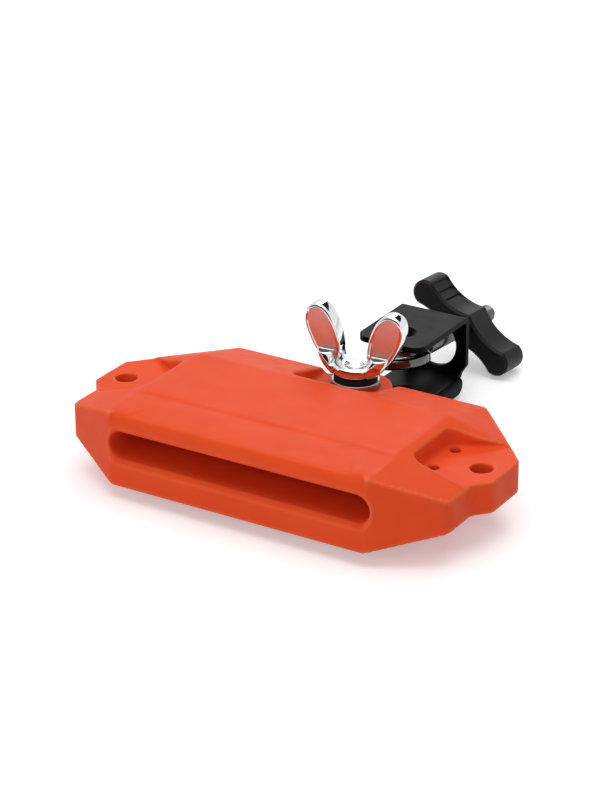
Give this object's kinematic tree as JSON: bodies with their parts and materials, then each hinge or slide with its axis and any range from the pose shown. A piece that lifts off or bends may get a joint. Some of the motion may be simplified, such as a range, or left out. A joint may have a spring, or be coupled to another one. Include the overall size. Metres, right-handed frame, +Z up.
{
  "type": "woodblock",
  "caption": "Red moulded plastic percussion block with a long slot, two ears, and a black steel rod clamp with a wing nut, an eye bolt and a T knob.",
  "frame": {"origin": "middle of the rod's way through the clamp, on the rod's axis", "axes": "+Z up along the rod, -Y towards the slot, +X to the right seen from the slot"},
  "size_m": [0.19, 0.2171, 0.063],
  "materials": {
    "block": "satin",
    "clamp": "satin",
    "plated": "polished",
    "soft_ring": "matte",
    "knob": "satin",
    "insert": "machined"
  },
  "bodies": {
    "clamp": {"bracket": "clamp", "carriage_bolt": "plated"},
    "block": {"block_body": "block", "flat_washer": "plated"},
    "nut": {"wing_nut": "plated", "ring_washer": "soft_ring"},
    "eye": {"eye_bolt": "plated"},
    "knob": {"knob": "knob", "knob_insert": "insert"}
  },
  "joints": [
    {"name": "block_swivel", "type": "hinge", "parent": "clamp", "child": "block", "pos_m": [0, -0.0403, -0.01275], "axis": [0, 0, 1], "range_deg": [-45, 45]},
    {"name": "wing_nut_turn", "type": "hinge", "parent": "clamp", "child": "nut", "pos_m": [0, -0.0403, -0.01275], "axis": [0, 0, 1], "continuous": true},
    {"name": "eye_bolt_slide", "type": "slide", "parent": "clamp", "child": "eye", "axis": [0, 0.9962, -0.0872], "range_m": [-0.01, 0.01]},
    {"name": "knob_turn", "type": "hinge", "parent": "eye", "child": "knob", "pos_m": [0, 0.02975, 0], "axis": [0, 0.9962, -0.0872], "continuous": true}
  ]
}
